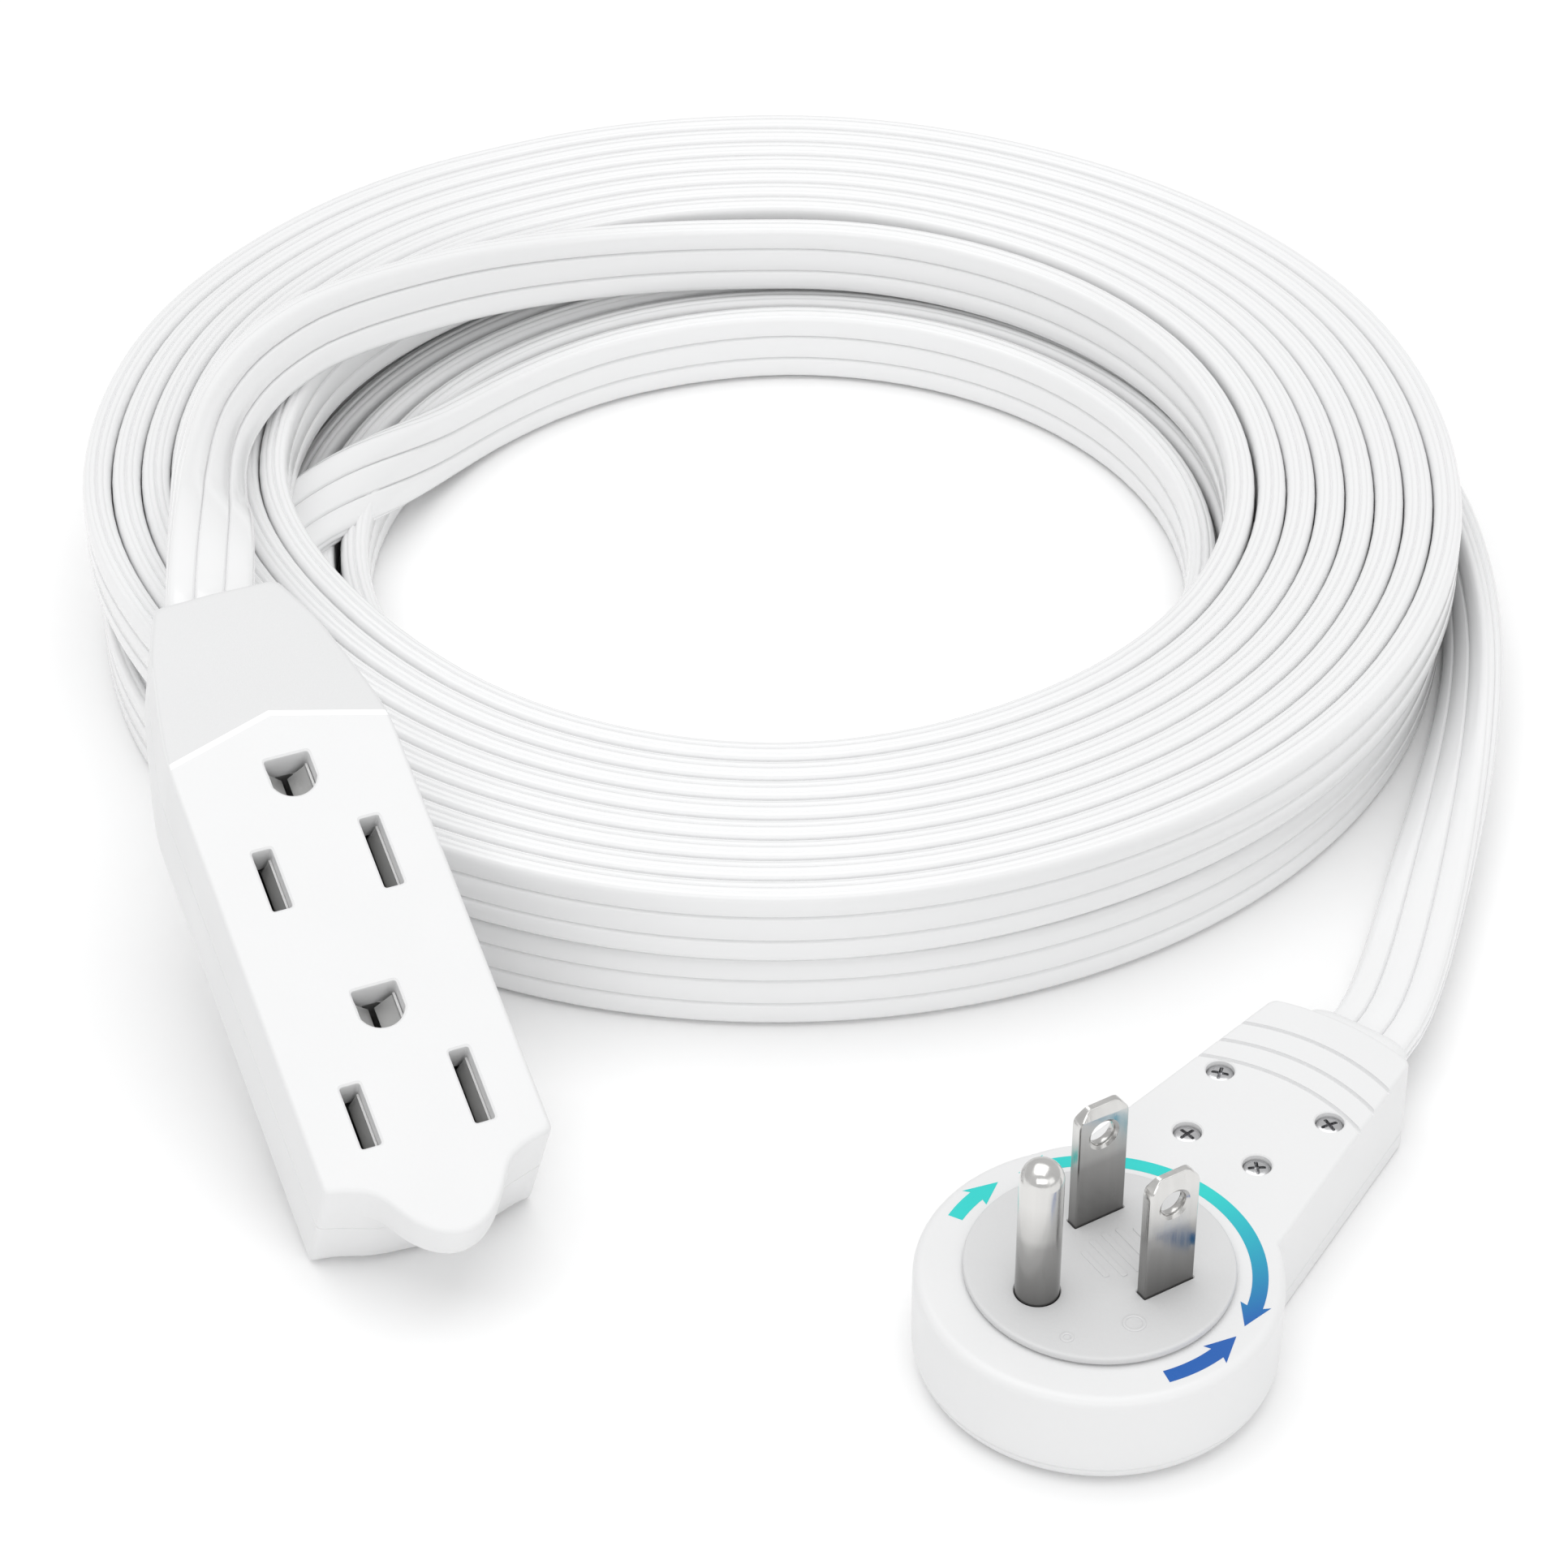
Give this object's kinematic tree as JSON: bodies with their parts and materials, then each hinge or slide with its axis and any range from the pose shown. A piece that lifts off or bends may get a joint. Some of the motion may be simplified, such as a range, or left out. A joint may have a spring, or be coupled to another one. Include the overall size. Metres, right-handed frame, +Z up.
{
  "type": "extension cord",
  "caption": "Flat white indoor extension cord with a rotating right-angle grounded plug, a coiled flat cable and a slim tap with grounded outlets.",
  "frame": {"origin": "floor point under the middle of the bounding box of plug and tap, without the free cable", "axes": "+Z up; the plug lies prongs up at +X, the tap leans at -X, and the coil lies behind them at +Y"},
  "size_m": [0.179, 0.2467, 0.046],
  "materials": {
    "white_shell": "smooth, slightly glossy moulded shell",
    "white_rotor": "smooth, slightly glossy moulded disc",
    "grey_insert": "plain moulded insert",
    "ivory_insert": "plain moulded insulator",
    "cable_jacket": "smooth flexible jacket with shallow grooves",
    "boot_rubber": "soft white strain relief",
    "prong_metal": "nickel plated",
    "screw_steel": "plated steel",
    "contact_brass": "bright brass",
    "lead_black": "thin lead insulation",
    "lead_white": "thin lead insulation",
    "lead_green": "thin lead insulation"
  },
  "bodies": {
    "cord_set": {"plug_base": "white_shell", "plug_cover": "white_shell", "plug_screws": "screw_steel", "plug_boot": "boot_rubber", "plug_cord_tail": "cable_jacket", "plug_clamp": "grey_insert", "ring_carrier": "ivory_insert", "neutral_ring": "contact_brass", "hot_ring": "contact_brass", "ground_contact": "contact_brass", "plug_hot_lead": "lead_black", "plug_neutral_lead": "lead_white", "plug_ground_lead": "lead_green", "tap_upper_shell": "white_shell", "tap_lower_shell": "white_shell", "tap_dividers": "grey_insert", "tap_screws": "screw_steel", "tap_boot": "boot_rubber", "tap_cord_tail": "cable_jacket", "tap_clamp": "grey_insert", "tap_hot_bus": "contact_brass", "tap_neutral_bus": "contact_brass", "tap_ground_bus": "contact_brass", "tap_hot_lead": "lead_black", "tap_neutral_lead": "lead_white", "tap_ground_lead": "lead_green", "cord_coil": "cable_jacket", "cord_tap_lead": "cable_jacket", "cord_plug_lead": "cable_jacket"},
    "rotor": {"rotor_disc": "white_rotor", "rotor_back": "grey_insert", "rotor_rivets": "screw_steel", "hot_blade": "prong_metal", "neutral_blade": "prong_metal", "ground_pin": "prong_metal", "hot_wiper": "contact_brass", "neutral_wiper": "contact_brass", "ground_wiper": "contact_brass"}
  },
  "joints": [
    {"name": "rotor_spin", "type": "hinge", "parent": "cord_set", "child": "rotor", "pos_m": [0.0349, -0.0314, 0.0124], "axis": [0, 0, 1], "continuous": true}
  ]
}
